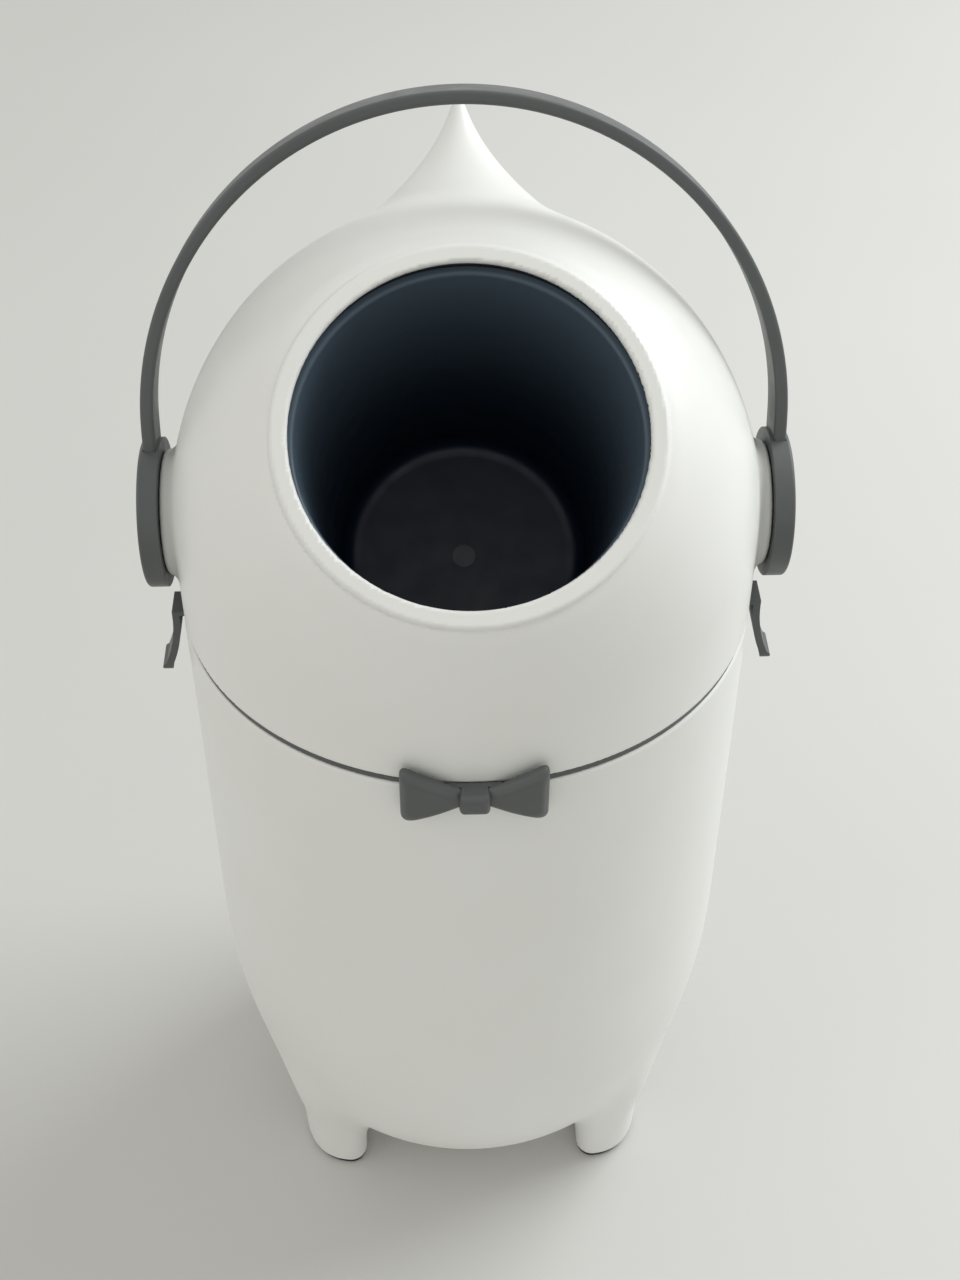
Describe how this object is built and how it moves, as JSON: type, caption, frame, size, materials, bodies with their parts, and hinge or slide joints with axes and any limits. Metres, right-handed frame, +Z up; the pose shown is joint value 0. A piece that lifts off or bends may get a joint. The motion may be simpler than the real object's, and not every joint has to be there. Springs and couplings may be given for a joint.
{
  "type": "nappy bin",
  "caption": "Free-standing nappy bin with a ball-shaped lift-off head; an arched handle turns an inner drum with a deep cup that tips the nappy into the bag below.",
  "frame": {"origin": "on the floor, at the middle of the footprint of the whole bin, bow tie included", "axes": "+Z up, the front with the bow tie looks along -Y, and the handle turns about X"},
  "size_m": [0.277, 0.264, 0.5709],
  "materials": {
    "white_shell": "fine satin moulded plastic",
    "grey_plastic": "satin moulded plastic",
    "dark_plastic": "polished moulded plastic",
    "rubber": "matt rubber",
    "steel": "zinc plated"
  },
  "bodies": {
    "base": {"body_shell": "white_shell", "foot_pads": "rubber"},
    "ring": {"bag_ring": "grey_plastic", "bow_wings": "grey_plastic", "bow_knot": "grey_plastic", "bow_screw": "steel"},
    "head": {"head_shell": "white_shell", "mouth_seal": "rubber", "skirt_seal": "rubber", "bush_left": "grey_plastic", "bush_right": "grey_plastic"},
    "rotor": {"drum_front": "dark_plastic", "drum_back": "dark_plastic", "drum_screws": "steel", "drum_cup": "dark_plastic", "cup_screw": "dark_plastic", "trunnion_left": "steel", "trunnion_right": "steel", "ear_cup_left": "grey_plastic", "ear_cup_right": "grey_plastic", "hub_screw_left": "steel", "hub_screw_right": "steel", "handle_bow": "grey_plastic", "handle_screws": "steel", "ear_cap_left": "grey_plastic", "ear_cap_right": "grey_plastic"}
  },
  "joints": [
    {"name": "head_lift", "type": "slide", "parent": "base", "child": "head", "axis": [0, 0, 1], "range_m": [0, 0.16]},
    {"name": "ring_lift", "type": "slide", "parent": "base", "child": "ring", "axis": [0, 0, 1], "range_m": [0, 0.08]},
    {"name": "handle_swing", "type": "hinge", "parent": "head", "child": "rotor", "pos_m": [0, 0.005, 0.4], "axis": [1, 0, 0], "range_deg": [0, 143]}
  ],
  "couplings": [
    {"joint": "ring_lift", "follows": "head_lift", "ratio": 0.5}
  ]
}
